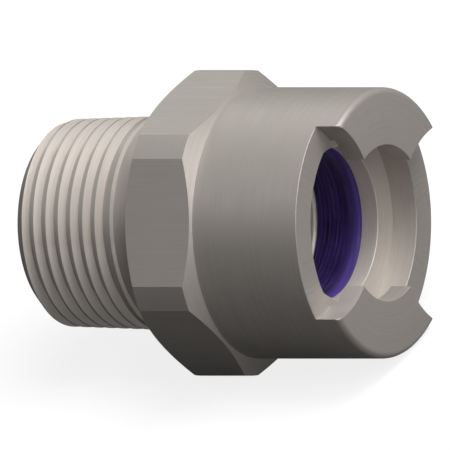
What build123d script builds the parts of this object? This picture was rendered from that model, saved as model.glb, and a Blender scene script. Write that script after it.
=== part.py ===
"""Pneumatic quick coupling half with a male taper pipe thread.

A machined steel body (taper for the pipe thread, neck, hexagon, barrel, socket with two
jaws) and a moulded rubber lip seal pressed into a groove behind the socket bore.

Millimetres. The origin is the centre of the threaded end's face. +X runs along the
flow axis to the socket, +Z is up, and the coupling lies on one flat of its hexagon.
Every outline is drawn with its stations counted along the axis from the origin.
"""
import os
from math import radians, tan

from build123d import *

# Taper pipe thread, 3/4 nominal, over its crests: the grooves are not cut
thread_crest_r = 13.015      # crest radius in the plane of the end face
thread_taper = 1 / 32        # growth of the radius for each unit of length
thread_length = 14.43        # end face to the chamfer that drops to the neck
thread_flank_deg = 30.0
end_chamfer = 1.50

# Neck and hexagon
neck_diameter = 26.04
shank_length = 19.05         # end face to the hexagon's rear face
hex_across_flats = 34.925
hex_turned_diameter = 38.46
hex_rear_face_diameter = 34.80
hex_length = 9.525           # rear face to the foot of the front chamfer
hex_chamfer_deg = 30.0

# Barrel
barrel_diameter = 34.16
overall_length = 47.10
mouth_fillet = 0.79

# Socket, from the mouth inwards
jaw_bore_diameter = 19.70
jaw_thickness = 2.85
undercut_diameter = 26.67
undercut_width = 4.10
socket_bore_diameter = 19.30
socket_bore_length = 2.36
seal_groove_diameter = 25.00
seal_groove_width = 6.50
flow_bore_diameter = 19.05
flow_bore_chamfer = 0.42

# Slots milled between the jaws with a round cutter held parallel to the axis
slot_depth = 3.47
slot_cutter_r = 12.70
slot_cutter_offset = 15.70

# Seal ring
seal_clearance = 0.05        # all round, between the ring and its groove
seal_lip_r = 9.38            # crest of the front lip
seal_lip_width = 1.70
seal_wall_r = 9.65           # inner wall behind the lip

# Roll about the axis: puts one flat of the hexagon underneath
roll_deg = 60.0

# Stations along the axis
hex_front = shank_length + hex_length
jaw_rear = overall_length - jaw_thickness
socket_floor = jaw_rear - undercut_width
seal_front = socket_floor - socket_bore_length
seal_rear = seal_front - seal_groove_width


def crest_radius(x):
    """Radius of the thread's crests at a station along the axis."""
    return thread_crest_r + thread_taper * x


def turned(points):
    """A solid of revolution about the Z axis from (station, radius) corners."""
    outline = Polyline([(r, 0, x) for x, r in points], close=True)
    return revolve(make_face(outline), Axis.Z)


def turned_blank():
    """The outside of the body as it comes off the lathe, before the flats are milled."""
    tan_hex, tan_flank = tan(radians(hex_chamfer_deg)), tan(radians(thread_flank_deg))
    barrel_r, corner_r = barrel_diameter / 2, hex_turned_diameter / 2
    neck_r, rear_r = neck_diameter / 2, hex_rear_face_diameter / 2
    end_r = thread_crest_r - end_chamfer
    chamfer_x = end_chamfer / (1 - thread_taper)
    step_x = (crest_radius(thread_length) - neck_r) * tan_flank
    blank = turned([
        (0, 0), (0, end_r), (chamfer_x, crest_radius(chamfer_x)),
        (thread_length, crest_radius(thread_length)), (thread_length + step_x, neck_r),
        (shank_length, neck_r), (shank_length, rear_r),
        (shank_length + (corner_r - rear_r) * tan_hex, corner_r),
        (hex_front - (corner_r - barrel_r) * tan_hex, corner_r), (hex_front, barrel_r),
        (overall_length, barrel_r), (overall_length, 0),
    ])
    mouth = blank.edges().filter_by(GeomType.CIRCLE).sort_by(Axis.Z)[-1]
    return fillet(mouth, mouth_fillet)


def hex_limits():
    """What the six flats leave standing: a hexagonal bar round the hexagon's own length."""
    bar = RegularPolygon(hex_across_flats / 2, 6, major_radius=False, rotation=30)
    ring = Circle(hex_turned_diameter) - bar
    return Pos(0, 0, shank_length - 1) * extrude(ring, hex_length + 1)


def inner_passage():
    """The socket, its undercut, the seal's groove and the flow bore, as one cutter."""
    flow_r, seal_r = flow_bore_diameter / 2, seal_groove_diameter / 2
    mouth_r = flow_r + flow_bore_chamfer
    bore_r, under_r, jaw_r = socket_bore_diameter / 2, undercut_diameter / 2, jaw_bore_diameter / 2
    return turned([
        (-1, 0), (-1, flow_r), (seal_rear - flow_bore_chamfer, flow_r), (seal_rear, mouth_r),
        (seal_rear, seal_r), (seal_front, seal_r), (seal_front, bore_r), (socket_floor, bore_r),
        (socket_floor, under_r), (jaw_rear, under_r), (jaw_rear, jaw_r),
        (overall_length + 1, jaw_r), (overall_length + 1, 0),
    ])


def slot_cutters():
    """The two round cutters that leave the jaws standing between them."""
    cutter = Cylinder(slot_cutter_r, slot_depth + 1, align=(Align.CENTER, Align.CENTER, Align.MIN))
    floor = overall_length - slot_depth
    return [Pos(side * slot_cutter_offset, 0, floor) * cutter for side in (1, -1)]


def coupling_body():
    """The machined body: blank, flats, bores and slots."""
    body = turned_blank() - hex_limits() - inner_passage()
    for cutter in slot_cutters():
        body -= cutter
    return body


def seal_ring():
    """The moulded seal: a ring with a round lip at its front and a plain wall behind it."""
    front = seal_front - seal_clearance
    rear = seal_rear + seal_clearance
    outer_r = seal_groove_diameter / 2 - seal_clearance
    lip_end = front - seal_lip_width
    outline = [
        Polyline((seal_wall_r, 0, lip_end), (seal_wall_r, 0, rear), (outer_r, 0, rear),
                 (outer_r, 0, front), (seal_wall_r, 0, front)),
        ThreePointArc((seal_wall_r, 0, front), (seal_lip_r, 0, (front + lip_end) / 2),
                      (seal_wall_r, 0, lip_end)),
    ]
    return revolve(make_face(outline), Axis.Z)


def placed(shape):
    """Lays a shape drawn about the Z axis along +X and rolls it onto a flat."""
    return Rot(X=roll_deg) * Rot(Y=90) * shape


os.makedirs("parts", exist_ok=True)
export_step(placed(coupling_body()), "parts/coupling_body.step")
export_step(placed(seal_ring()), "parts/seal_ring.step")
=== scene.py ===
import math

import bmesh
import bpy
from mathutils import Matrix, Vector


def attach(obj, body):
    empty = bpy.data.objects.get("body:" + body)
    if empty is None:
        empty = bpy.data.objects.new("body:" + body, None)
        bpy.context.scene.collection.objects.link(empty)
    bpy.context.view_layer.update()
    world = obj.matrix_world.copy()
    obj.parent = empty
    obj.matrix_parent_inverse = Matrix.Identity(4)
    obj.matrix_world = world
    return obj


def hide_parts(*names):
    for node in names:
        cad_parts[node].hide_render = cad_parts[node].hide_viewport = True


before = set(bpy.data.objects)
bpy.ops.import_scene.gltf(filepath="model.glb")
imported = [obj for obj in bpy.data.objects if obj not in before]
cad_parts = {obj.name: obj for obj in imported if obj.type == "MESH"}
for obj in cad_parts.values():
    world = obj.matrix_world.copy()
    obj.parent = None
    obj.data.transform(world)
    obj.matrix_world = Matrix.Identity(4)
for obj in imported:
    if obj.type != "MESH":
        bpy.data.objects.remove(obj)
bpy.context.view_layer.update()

# Coupling body: one piece of hexagon bar steel, turned, bored, threaded and milled.
# Its skin is one closed outline of (station, radius) points that changes with the angle
# round the axis: grooves on the thread, flats on the hexagon, slots between the jaws.
MM = 0.001
ROLL = math.radians(30)
FAR_SIDE = Vector((0, math.cos(ROLL), -math.sin(ROLL)))
TOP_SIDE = Vector((0, math.sin(ROLL), math.cos(ROLL)))
TAN30 = math.tan(math.radians(30))
EDGE = 0.06

PITCH = 25.4 / 14
CREST_R, TAPER, DEPTH, CREST_FLAT = 13.015, 1 / 32, 1.03, 0.31
ROOT_HALF = (PITCH - CREST_FLAT - 2 * DEPTH * TAN30) / 2
END_CHAMFER = 1.50
END_R = CREST_R - END_CHAMFER
THREAD_FROM = 0.20
HELIX_START, GROOVE_END = -0.58 - PITCH, 13.58
GROOVE_TURNS = (GROOVE_END - HELIX_START) / PITCH
RUNOUT_TURNS, FADE_TURNS = 0.22, 1 / 6
LAST_FLAT = CREST_FLAT + 0.40
LAST_CREST = ROOT_HALF + DEPTH * TAN30 + LAST_FLAT
FLANK_ROWS = 4

NECK_R, REAR_R, TURNED_R, FLAT_R, BARREL_R = 13.02, 17.40, 19.23, 17.4625, 17.08
SHANK, HEX_FRONT, MOUTH = 19.05, 28.575, 47.10
FILLET, FILLET_ROWS = 0.79, 6
JAW_R, UNDERCUT_R, SOCKET_R, SEAL_R, FLOW_R = 9.85, 13.335, 9.65, 12.50, 9.525
JAW_REAR, SOCKET_FLOOR, SEAL_FRONT, SEAL_REAR = 44.25, 40.15, 37.79, 31.29
FLOW_CHAMFER = 0.42
SLOT_DEPTH, CUTTER_R, CUTTER_OFFSET = 3.47, 12.70, 15.70
SLOT_FLOOR = MOUTH - SLOT_DEPTH
SLOT_STEPS, JAW_STEPS, CLOSEST = 8, 12, 0.3


def crest(x):
    """Radius of the thread's crests at a station."""
    return CREST_R + TAPER * x


def end_chamfered(points):
    """Cuts an outline down to the end chamfer, with a point where the two lines cross."""
    over = [r - x - END_R for x, r in points]
    cut = [(x, min(r, x + END_R)) for x, r in points]
    ahead = [(i, i + 1) for i in range(len(points) - 1)]
    behind = [(i + 1, i) for i in range(len(points) - 1)]
    for i, j in ahead + behind:
        if over[i] > 0 > over[j]:
            share = over[i] / (over[i] - over[j])
            cut[i] = tuple(a + (b - a) * share for a, b in zip(points[i], points[j]))
    return cut


def thread_rows(angle):
    """The thread at one angle: each groove with the crest behind it, and the fall to the neck."""
    part = angle / 360
    left = GROOVE_TURNS + RUNOUT_TURNS - part
    last = math.floor(left)
    slide = max(0, (left - last - 1 + FADE_TURNS) / FADE_TURNS)
    edge = HELIX_START + (last + slide + part) * PITCH + LAST_CREST
    rows = []
    for k in range(math.ceil(GROOVE_TURNS + RUNOUT_TURNS) + 1):
        mid = HELIX_START + (k + part) * PITCH
        depth = DEPTH * min(1, max(0, (left - k) / RUNOUT_TURNS))
        half = ROOT_HALF + depth * TAN30
        for i in range(FLANK_ROWS + 1):
            share = i / FLANK_ROWS
            rows.append((mid - half + (half - ROOT_HALF) * share, depth * share))
        for i in range(FLANK_ROWS, -1, -1):
            share = i / FLANK_ROWS
            rows.append((mid + half - (half - ROOT_HALF) * share, depth * share))
        for share in (0.5, 1):
            rows.append((mid + half + (PITCH - 2 * half) * share, 0))
    rows = [(min(max(x, THREAD_FROM), edge), depth) for x, depth in rows]
    points = end_chamfered([(x, crest(x) - depth) for x, depth in rows])
    return points + [(edge, crest(edge)), (edge + (crest(edge) - NECK_R) * TAN30, NECK_R)]


def top_of_jaw(r):
    """Station of the jaw's top at a radius: flat, then the rounded outer edge."""
    out = max(0, r - (BARREL_R - FILLET))
    return MOUTH - FILLET + math.sqrt(max(0, FILLET * FILLET - out * out))


def mouth_rows(psi, wall, zone):
    """From the barrel over the mouth to the undercut: jaw, half slot or slot."""
    lip_r = min(wall + EDGE, BARREL_R)
    rows = [(x, BARREL_R) for x in (SLOT_FLOOR, JAW_REAR, JAW_REAR + EDGE)]
    rows.append((MOUTH - FILLET - EDGE, BARREL_R))
    for i in range(FILLET_ROWS + 1):
        r = BARREL_R - FILLET + FILLET * math.cos(math.pi / 2 * i / FILLET_ROWS)
        rows.append((top_of_jaw(max(r, lip_r)), max(r, lip_r)))
    rows += [(top_of_jaw(lip_r), lip_r), (top_of_jaw(wall) - EDGE, wall)]
    rows.append((JAW_REAR + EDGE, wall))
    if zone == "floor":
        rows += [(JAW_REAR, wall), (SLOT_FLOOR, wall), (SLOT_FLOOR, min(UNDERCUT_R + EDGE, wall))]
    else:
        rows += [(JAW_REAR, min(wall + EDGE, UNDERCUT_R)), (JAW_REAR, UNDERCUT_R)]
        rows.append((SLOT_FLOOR, UNDERCUT_R))
    if zone == "slot":
        cut = EDGE * min(1, (cutter_angle(BARREL_R) - psi) / 2)
        outer = [(SLOT_FLOOR - cut, BARREL_R)] + [(SLOT_FLOOR, BARREL_R - cut)] * (len(rows) - 2)
        rows = outer + [(SLOT_FLOOR, UNDERCUT_R + EDGE)]
    return rows + [(SLOT_FLOOR - EDGE, UNDERCUT_R)]


def body_rows(angle, wall, zone):
    """The whole closed outline at one angle, from the end face round to the flow bore."""
    psi = abs((angle + 90) % 180 - 90)
    corner = math.radians((angle + 30) % 60 - 30)
    hex_r = min(TURNED_R, FLAT_R / math.cos(corner))
    rows = [(0, FLOW_R + EDGE), (0, END_R)]
    rows += thread_rows(angle)
    rows += [(SHANK, NECK_R), (SHANK, REAR_R), (SHANK + (hex_r - REAR_R) * TAN30, hex_r)]
    rows += [(HEX_FRONT - (hex_r - BARREL_R) * TAN30, hex_r), (HEX_FRONT, BARREL_R)]
    rows += mouth_rows(psi, wall, zone)
    rows += [(SOCKET_FLOOR, UNDERCUT_R), (SOCKET_FLOOR, SOCKET_R + EDGE)]
    rows += [(SOCKET_FLOOR - EDGE, SOCKET_R), (SEAL_FRONT + EDGE, SOCKET_R)]
    rows += [(SEAL_FRONT, SOCKET_R + EDGE), (SEAL_FRONT, SEAL_R), (SEAL_REAR, SEAL_R)]
    rows += [(SEAL_REAR, FLOW_R + FLOW_CHAMFER), (SEAL_REAR - FLOW_CHAMFER, FLOW_R), (EDGE, FLOW_R)]
    return rows


def cutter_angle(r):
    """Angle from a slot's middle at which the round cutter's wall crosses a radius."""
    cosine = (CUTTER_OFFSET ** 2 + r * r - CUTTER_R ** 2) / (2 * CUTTER_OFFSET * r)
    return math.degrees(math.acos(cosine))


def quarter_turn():
    """The angles of a quarter turn from the middle of a slot, with the wall's radius and zone."""
    flat_edge = math.degrees(math.acos(FLAT_R / TURNED_R))
    edges = [flat_edge, 60 - flat_edge, 60 + flat_edge]
    even = [a for a in range(91) if min(abs(a - e) for e in edges) > CLOSEST]
    angles = sorted(even + edges)
    outer, inner = cutter_angle(BARREL_R), cutter_angle(JAW_R)
    quarter = [(a, BARREL_R, "slot") for a in angles if a < outer - CLOSEST]
    quarter += [(outer, BARREL_R, "slot"), (outer, BARREL_R, "floor")]
    for i in range(1, SLOT_STEPS + 1):
        r = BARREL_R + (UNDERCUT_R - BARREL_R) * i / SLOT_STEPS
        quarter.append((cutter_angle(r), r, "floor"))
    for i in range(JAW_STEPS + 1):
        r = UNDERCUT_R + (JAW_R - UNDERCUT_R) * i / JAW_STEPS
        quarter.append((cutter_angle(r), r, "lip"))
    return quarter + [(a, JAW_R, "lip") for a in angles if a > inner + CLOSEST]


quarter = quarter_turn()
columns = list(quarter)
columns += [(180 - a, r, z) for a, r, z in reversed(quarter[:-1])]
columns += [(180 + a, r, z) for a, r, z in quarter[1:]]
columns += [(360 - a, r, z) for a, r, z in reversed(quarter[:-1])]

verts, faces = [], []
for angle, wall, zone in columns:
    out = FAR_SIDE * math.cos(math.radians(angle)) + TOP_SIDE * math.sin(math.radians(angle))
    for x, r in body_rows(angle, wall, zone):
        verts.append((Vector((x, 0, 0)) + out * r) * MM)
count = len(verts) // len(columns)
for i in range(len(columns) - 1):
    for j in range(count):
        a, b = i * count + j, i * count + (j + 1) % count
        faces.append((a, b, b + count, a + count))

WELD, SLIVER, NEAR = 0.0005, 1e-5, 0.01
body_mesh = bpy.data.meshes.new("coupling_skin")
body_mesh.from_pydata(verts, [], faces)
skin = bmesh.new()
skin.from_mesh(body_mesh)
bmesh.ops.remove_doubles(skin, verts=skin.verts, dist=WELD * MM)
flat = [face for face in skin.faces if face.calc_area() < SLIVER * MM * MM]
bmesh.ops.delete(skin, geom=flat, context="FACES")
bmesh.ops.recalc_face_normals(skin, faces=skin.faces)
skin.normal_update()


def finish_and_painted_light_of(face):
    """How a face was made: 0 turned, 1 drawn flat, 2 milled, 3 bored, 4 undercut, 5 threaded; 3 to 5
    get lighter steel, partly painted light.
    """
    place = face.calc_center_median() / MM
    far, up = place.dot(FAR_SIDE), place.dot(TOP_SIDE)
    r = math.hypot(far, up)
    outward = (FAR_SIDE * far + TOP_SIDE * up).dot(face.normal) / r
    from_cutter = math.hypot(abs(far) - CUTTER_OFFSET, up)
    faces_out, faces_in = outward > 0.5, outward < 0.2
    if SHANK < place.x < HEX_FRONT and faces_out and r * outward < FLAT_R + NEAR:
        return 1 if abs(face.normal.x) < NEAR else 0
    if place.x > SLOT_FLOOR - EDGE and from_cutter < CUTTER_R + 2 * NEAR and r > JAW_R + 2 * NEAR:
        return 2
    if r < JAW_R and place.x < SOCKET_FLOOR + NEAR and faces_in:
        return 3
    if SOCKET_FLOOR - NEAR < place.x < JAW_REAR + NEAR and r < UNDERCUT_R + NEAR:
        return 4
    flank = abs(face.normal.x) > 0.5 and END_R < r < END_R + place.x - 2 * NEAR
    return 5 if flank and place.x < SHANK - NEAR else 0


for face in skin.faces:
    face.material_index = finish_and_painted_light_of(face)
skin.to_mesh(body_mesh)
skin.free()
body_mesh.shade_smooth()
body_mesh.set_sharp_from_angle(angle=math.radians(20))
body = bpy.data.objects.new("coupling_skin", body_mesh)
bpy.context.collection.objects.link(body)
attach(body, "root")
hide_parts("coupling_body")

# The body's finish: bare satin steel with the marks that each tool leaves. They are fine
# lines that run the way the tool went, with broad patches where the finish changes.
PATCH_SHARE, PATCH_SCALE = 0.55, 0.22
marks = bpy.data.node_groups.new("tool_marks", "ShaderNodeTree")
for name, kind, way in (("Lines", "NodeSocketVector", "INPUT"),
                        ("Patches", "NodeSocketVector", "INPUT"),
                        ("Tone", "NodeSocketFloat", "INPUT"),
                        ("Grain", "NodeSocketFloat", "INPUT"),
                        ("Roughness", "NodeSocketFloat", "INPUT"),
                        ("Plain", "NodeSocketColor", "INPUT"),
                        ("Colour", "NodeSocketColor", "OUTPUT"),
                        ("Rough", "NodeSocketFloat", "OUTPUT"),
                        ("Height", "NodeSocketFloat", "OUTPUT")):
    marks.interface.new_socket(name, in_out=way, socket_type=kind)
nodes, links = marks.nodes, marks.links
given, made = nodes.new("NodeGroupInput"), nodes.new("NodeGroupOutput")
fine, broad = nodes.new("ShaderNodeTexNoise"), nodes.new("ShaderNodeTexNoise")
for noise, source, detail in ((fine, "Lines", 3), (broad, "Patches", 2)):
    noise.inputs["Scale"].default_value = 1
    noise.inputs["Detail"].default_value = detail
    links.new(given.outputs[source], noise.inputs["Vector"])
both = nodes.new("ShaderNodeMath")
both.operation = "MULTIPLY_ADD"
both.inputs[1].default_value = PATCH_SHARE
links.new(broad.outputs["Fac"], both.inputs[0])
links.new(fine.outputs["Fac"], both.inputs[2])
centred = nodes.new("ShaderNodeMath")
centred.operation = "SUBTRACT"
centred.inputs[1].default_value = (1 + PATCH_SHARE) / 2
links.new(both.outputs[0], centred.inputs[0])
rough = nodes.new("ShaderNodeMath")
rough.operation = "MULTIPLY_ADD"
links.new(centred.outputs[0], rough.inputs[0])
links.new(given.outputs["Grain"], rough.inputs[1])
links.new(given.outputs["Roughness"], rough.inputs[2])
swing = nodes.new("ShaderNodeMath")
swing.operation = "MULTIPLY"
links.new(centred.outputs[0], swing.inputs[0])
links.new(given.outputs["Tone"], swing.inputs[1])
tone = nodes.new("ShaderNodeMath")
tone.operation = "SUBTRACT"
tone.inputs[0].default_value = 1
links.new(swing.outputs[0], tone.inputs[1])
shaded = nodes.new("ShaderNodeVectorMath")
shaded.operation = "SCALE"
links.new(given.outputs["Plain"], shaded.inputs[0])
links.new(tone.outputs[0], shaded.inputs["Scale"])
links.new(shaded.outputs[0], made.inputs["Colour"])
links.new(rough.outputs[0], made.inputs["Rough"])
links.new(fine.outputs["Fac"], made.inputs["Height"])


def dot_node(nodes, links, source, direction):
    """A node that gives how far a place lies along a direction."""
    node = nodes.new("ShaderNodeVectorMath")
    node.operation = "DOT_PRODUCT"
    node.inputs[1].default_value = direction
    links.new(source, node.inputs[0])
    return node.outputs["Value"]


def math_node(nodes, links, operation, first, second):
    """A node that joins two numbers, each an output or a constant."""
    node = nodes.new("ShaderNodeMath")
    node.operation = operation
    for socket, value in zip(node.inputs, (first, second)):
        if isinstance(value, (int, float)):
            socket.default_value = value
        else:
            links.new(value, socket)
    return node.outputs[0]


def marked(name, colour, roughness, metallic, tone, grain, depth, lines_of):
    """A material whose marks run along the lines that lines_of works out."""
    material = bpy.data.materials.new(name)
    material.use_nodes = True
    nodes, links = material.node_tree.nodes, material.node_tree.links
    where = nodes.new("ShaderNodeTexCoord")
    place = nodes.new("ShaderNodeVectorMath")
    place.operation = "SCALE"
    place.inputs["Scale"].default_value = 1 / MM
    links.new(where.outputs["Object"], place.inputs[0])
    x = dot_node(nodes, links, place.outputs[0], (1, 0, 0))
    far = dot_node(nodes, links, place.outputs[0], FAR_SIDE)
    up = dot_node(nodes, links, place.outputs[0], TOP_SIDE)
    lines = nodes.new("ShaderNodeCombineXYZ")
    for socket, value in zip(lines.inputs, lines_of(nodes, links, x, far, up)):
        links.new(value, socket)
    patches = nodes.new("ShaderNodeVectorMath")
    patches.operation = "SCALE"
    patches.inputs["Scale"].default_value = PATCH_SCALE
    links.new(place.outputs[0], patches.inputs[0])
    group = nodes.new("ShaderNodeGroup")
    group.node_tree = marks
    group.inputs["Tone"].default_value = tone
    group.inputs["Grain"].default_value = grain
    group.inputs["Roughness"].default_value = roughness
    group.inputs["Plain"].default_value = (*colour, 1)
    links.new(lines.outputs[0], group.inputs["Lines"])
    links.new(patches.outputs[0], group.inputs["Patches"])
    bump = nodes.new("ShaderNodeBump")
    bump.inputs["Strength"].default_value = 1
    bump.inputs["Distance"].default_value = depth * MM
    links.new(group.outputs["Height"], bump.inputs["Height"])
    shader = nodes["Principled BSDF"]
    shader.inputs["Metallic"].default_value = metallic
    links.new(group.outputs["Colour"], shader.inputs["Base Color"])
    links.new(group.outputs["Rough"], shader.inputs["Roughness"])
    links.new(bump.outputs[0], shader.inputs["Normal"])
    return material


def ring_lines(spacing, stretch=9, slant=1.37):
    """Rings round the axis, as a lathe tool leaves them on walls and on end faces."""
    def lines_of(nodes, links, x, far, up):
        square = math_node(nodes, links, "MULTIPLY", far, far)
        square = math_node(nodes, links, "ADD", square, math_node(nodes, links, "MULTIPLY", up, up))
        r = math_node(nodes, links, "SQRT", square, 0)
        across = math_node(nodes, links, "ADD", x, math_node(nodes, links, "MULTIPLY", r, slant))
        return (math_node(nodes, links, "DIVIDE", across, spacing),
                math_node(nodes, links, "DIVIDE", far, stretch),
                math_node(nodes, links, "DIVIDE", up, stretch))
    return lines_of


def straight_lines(spacing, stretch=16):
    """Straight lines along the bar, as the drawing die leaves them on the hexagon's flats."""
    def lines_of(nodes, links, x, far, up):
        return (math_node(nodes, links, "DIVIDE", x, stretch),
                math_node(nodes, links, "DIVIDE", far, spacing),
                math_node(nodes, links, "DIVIDE", up, spacing))
    return lines_of


def cutter_lines(spacing, stretch=7):
    """Arcs round each slot cutter's own axis, on the floors of the slots and the cut walls."""
    def lines_of(nodes, links, x, far, up):
        side = math_node(nodes, links, "ABSOLUTE", far, 0)
        off = math_node(nodes, links, "SUBTRACT", side, CUTTER_OFFSET)
        square = math_node(nodes, links, "MULTIPLY", off, off)
        square = math_node(nodes, links, "ADD", square, math_node(nodes, links, "MULTIPLY", up, up))
        from_cutter = math_node(nodes, links, "SQRT", square, 0)
        across = math_node(nodes, links, "ADD", from_cutter, x)
        return (math_node(nodes, links, "DIVIDE", across, spacing),
                math_node(nodes, links, "DIVIDE", off, stretch),
                math_node(nodes, links, "DIVIDE", up, stretch))
    return lines_of


# The bored, undercut and threaded steels are lighter than the bare steel. This is partly the brighter
# cut metal and partly painted light, which stands in for the light that the socket's walls and the
# thread's crests shade off.
BARE, UNDERCUT_PAINTED_LIGHT = (0.50, 0.46, 0.425), (0.62, 0.573, 0.528)
THREADED_PAINTED_LIGHT, BORED_PAINTED_LIGHT = (0.76, 0.705, 0.655), (0.84, 0.78, 0.73)
STEEL_TONE, STEEL_GRAIN, STEEL_DEPTH = 0.20, 0.3, 0.002
for name, colour, roughness, metallic, lines in (
        ("turned_steel", BARE, 0.46, 0.45, ring_lines(0.22)),
        ("drawn_steel", BARE, 0.46, 0.45, straight_lines(0.16)),
        ("milled_steel", BARE, 0.46, 0.45, cutter_lines(0.30)),
        ("bored_steel_painted_light", BORED_PAINTED_LIGHT, 0.48, 0.25, ring_lines(0.26)),
        ("undercut_steel_painted_light", UNDERCUT_PAINTED_LIGHT, 0.46, 0.35, ring_lines(0.18)),
        ("threaded_steel_painted_light", THREADED_PAINTED_LIGHT, 0.46, 0.35, ring_lines(0.18))):
    finish = marked(name, colour, roughness, metallic, STEEL_TONE, STEEL_GRAIN, STEEL_DEPTH, lines)
    body_mesh.materials.append(finish)

# Seal ring: a moulded rubber lip seal, dark violet, pressed into the groove behind the
# socket bore. Its front edge swells into a soft lip, and the wall behind is faintly ridged.
LIP_R, WALL_R, LIP_CREST, LIP_END, CLEAR = 9.38, 9.65, 0.85, 2.20, 0.05
# How far behind the front the lip's lighter colour, a painted highlight, reaches.
PAINTED_HIGHLIGHT_LIP = 0.85 * LIP_END
RIDGE, RIDGE_PITCH, WALL_ROWS, RING_STEPS = 0.030, 0.62, 96, 240
FINE_PITCH = 0.6 * RIDGE_PITCH
WANDER, WAVER, FINE_WANDER = 0.35, 0.2, 0.3
ring_front, ring_rear, ring_outer = SEAL_FRONT - CLEAR, SEAL_REAR + CLEAR, SEAL_R - CLEAR


def wall_radius(behind, turn):
    """Radius of the ring's inner wall, a way behind its front and at a turn round the axis."""
    wander = WANDER * math.sin(turn) + WAVER * math.sin(3 * turn + 1)
    ridge = RIDGE * math.sin(2 * math.pi * (behind / RIDGE_PITCH + wander))
    cross = FINE_WANDER * math.sin(2 * turn + 2)
    ridge += RIDGE / 2 * math.sin(2 * math.pi * (behind / FINE_PITCH + cross))
    if behind >= LIP_END:
        return WALL_R + ridge * min(1, (behind - LIP_END) / RIDGE_PITCH)
    run = LIP_CREST if behind < LIP_CREST else LIP_END - LIP_CREST
    swell = math.cos(math.pi / 2 * (behind - LIP_CREST) / run) ** (1 if behind < LIP_CREST else 2)
    return WALL_R - (WALL_R - LIP_R) * swell


verts, faces = [], []
for i in range(RING_STEPS):
    turn = 2 * math.pi * i / RING_STEPS
    out = FAR_SIDE * math.cos(turn) + TOP_SIDE * math.sin(turn)
    ring_rows = [(ring_rear, ring_outer), (ring_front, ring_outer)]
    for j in range(WALL_ROWS + 1):
        behind = (ring_front - ring_rear) * j / WALL_ROWS
        ring_rows.append((ring_front - behind, wall_radius(behind, turn)))
    for x, r in ring_rows:
        verts.append((Vector((x, 0, 0)) + out * r) * MM)
count = len(ring_rows)
for i in range(RING_STEPS):
    for j in range(count):
        a, b = i * count + j, i * count + (j + 1) % count
        c, d = (i + 1) % RING_STEPS * count + (j + 1) % count, (i + 1) % RING_STEPS * count + j
        faces.append((a, b, c, d))
seal_mesh = bpy.data.meshes.new("lip_seal")
seal_mesh.from_pydata(verts, [], faces)
skin = bmesh.new()
skin.from_mesh(seal_mesh)
bmesh.ops.recalc_face_normals(skin, faces=skin.faces)
skin.to_mesh(seal_mesh)
skin.free()
seal_mesh.shade_smooth()
seal_mesh.set_sharp_from_angle(angle=math.radians(40))
seal = bpy.data.objects.new("lip_seal", seal_mesh)
bpy.context.collection.objects.link(seal)
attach(seal, "root")
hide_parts("seal_ring")

# The rubber is violet. Its lip is a lighter, evener violet than the wall behind it: a painted highlight
# where the lip's round front catches the light.
RUBBER_ROUGHNESS, RUBBER_GRAIN, RUBBER_DEPTH, RUBBER_SHEEN = 0.30, 0.3, 0.05, 0.2
for name, colour, tone in (("violet_rubber", (0.050, 0.029, 0.160), 2.6),
                           ("violet_rubber_lip_painted_highlight", (0.098, 0.063, 0.300), 1.4)):
    rubber = marked(name, colour, RUBBER_ROUGHNESS, 0, tone, RUBBER_GRAIN, RUBBER_DEPTH,
                    ring_lines(0.45))
    shader = rubber.node_tree.nodes["Principled BSDF"]
    shader.inputs["Specular IOR Level"].default_value = RUBBER_SHEEN
    seal_mesh.materials.append(rubber)
# Faces near the front take the lighter lip colour: a painted highlight.
for face in seal_mesh.polygons:
    if face.center.x > (ring_front - PAINTED_HIGHLIGHT_LIP) * MM:
        face.material_index = 1

# Camera: the photo's own view, a parallel projection from in front, above and the
# socket's side, rolled so that the axis of the coupling lies level in the picture.
along_axis, below_axis, picture_width, camera_distance = 23.50, 0.264, 0.05661, 0.4
back = Vector((0.5, -0.75, math.sqrt(3) / 4))
right = TOP_SIDE.cross(back)
centre = Vector((along_axis, 0, 0)) * MM - TOP_SIDE * below_axis * MM
camera = bpy.data.objects.new("camera", bpy.data.cameras.new("camera"))
bpy.context.collection.objects.link(camera)
camera.data.type = "ORTHO"
camera.data.ortho_scale = picture_width
camera.data.clip_start = 0.01
camera.matrix_world = Matrix((right, TOP_SIDE, back)).transposed().to_4x4()
camera.location = centre + back * camera_distance
bpy.context.scene.camera = camera

# Floor: the coupling lies on one flat of its hexagon on a plain white sheet. The sheet is
# white to the camera, takes the coupling's shadow, and can be seen through from below.
reach, gap = 1.2, 0.02
paper_bounce, paper_white, paper_glow, paper_mirror = 0.10, 0.90, 0.75, 0.04
paper_roughness, glow_strength = 0.9, 1.1
floor_z = -(FLAT_R + gap) * MM
floor_mesh = bpy.data.meshes.new("floor")
floor_mesh.from_pydata([(-reach, -reach, floor_z), (reach, -reach, floor_z),
                        (reach, reach, floor_z), (-reach, reach, floor_z)], [], [(0, 1, 2, 3)])
floor = bpy.data.objects.new("floor", floor_mesh)
bpy.context.collection.objects.link(floor)
paper = bpy.data.materials.new("white_paper")
paper.use_nodes = True
nodes, links = paper.node_tree.nodes, paper.node_tree.links
sheet = nodes["Principled BSDF"]
sheet.inputs["Roughness"].default_value = paper_roughness
sheet.inputs["Specular IOR Level"].default_value = 0
glow = nodes.new("ShaderNodeEmission")
glow.inputs["Strength"].default_value = glow_strength
rays = nodes.new("ShaderNodeLightPath")
through = math_node(nodes, links, "MAXIMUM",
                    rays.outputs["Is Camera Ray"], rays.outputs["Is Transmission Ray"])
direct = math_node(nodes, links, "MULTIPLY", through, paper_glow)
mirrored = math_node(nodes, links, "MULTIPLY", rays.outputs["Is Glossy Ray"], paper_mirror)
seen = math_node(nodes, links, "ADD", direct, mirrored)
tint = nodes.new("ShaderNodeMix")
tint.data_type = "RGBA"
tint.inputs["A"].default_value = (paper_bounce, paper_bounce, paper_bounce, 1)
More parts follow.
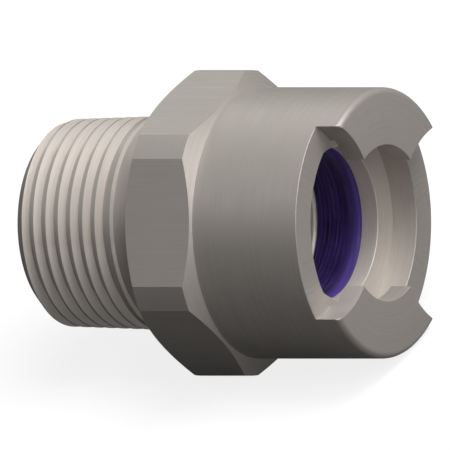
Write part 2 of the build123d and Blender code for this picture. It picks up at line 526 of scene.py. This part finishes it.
tint.inputs["B"].default_value = (paper_white, paper_white, paper_white, 1)
links.new(through, tint.inputs["Factor"])
links.new(tint.outputs["Result"], sheet.inputs["Base Color"])
white = nodes.new("ShaderNodeMixShader")
links.new(seen, white.inputs[0])
links.new(sheet.outputs[0], white.inputs[1])
links.new(glow.outputs[0], white.inputs[2])
below = nodes.new("ShaderNodeMixShader")
links.new(nodes.new("ShaderNodeNewGeometry").outputs["Backfacing"], below.inputs[0])
links.new(white.outputs[0], below.inputs[1])
links.new(nodes.new("ShaderNodeBsdfTransparent").outputs[0], below.inputs[2])
links.new(below.outputs[0], nodes["Material Output"].inputs["Surface"])
floor_mesh.materials.append(paper)

# Light: large soft disks, each facing the coupling from its own azimuth and elevation.
# Three make one broad light above the socket's side, and two are weaker fills. The last one
# throws no shadow, so that its light reaches the bottom of the grooves and the undercut.
room_mirror, room_fill = 0.01, 0.025
world = bpy.data.worlds.new("room")
bpy.context.scene.world = world
world.use_nodes = True
nodes, links = world.node_tree.nodes, world.node_tree.links
nodes["Background"].inputs["Color"].default_value = (1, 1, 1, 1)
rays = nodes.new("ShaderNodeLightPath")
through = math_node(nodes, links, "MAXIMUM",
                    rays.outputs["Is Camera Ray"], rays.outputs["Is Transmission Ray"])
mirrored = math_node(nodes, links, "MULTIPLY", rays.outputs["Is Glossy Ray"], room_mirror)
seen = math_node(nodes, links, "MAXIMUM", through, mirrored)
strength = math_node(nodes, links, "MAXIMUM", seen, room_fill)
links.new(strength, nodes["Background"].inputs["Strength"])
lamp_distance, lamp_size = 0.60, 0.40
lamps = {"lamp_high": (0, 72, 2.50),
         "lamp_socket_far": (30, 46, 0.77),
         "lamp_socket_near": (330, 46, 0.83),
         "lamp_front": (240, 46, 0.20),
         "lamp_behind": (145, 28, 0.60),
         "lamp_even": (0, 20, 0.92)}
for name, (azimuth, elevation, power) in lamps.items():
    turn, rise = math.radians(azimuth), math.radians(elevation)
    towards = Vector((math.cos(rise) * math.cos(turn), math.cos(rise) * math.sin(turn), math.sin(rise)))
    data = bpy.data.lights.new(name, "AREA")
    data.shape, data.size, data.energy = "DISK", lamp_size, power
    data.use_shadow = name != "lamp_even"
    lamp = bpy.data.objects.new(name, data)
    bpy.context.collection.objects.link(lamp)
    lamp.location = centre + towards * lamp_distance
    lamp.rotation_mode = "QUATERNION"
    lamp.rotation_quaternion = towards.to_track_quat("Z", "Y")

bpy.context.scene.view_settings.view_transform = "Standard"
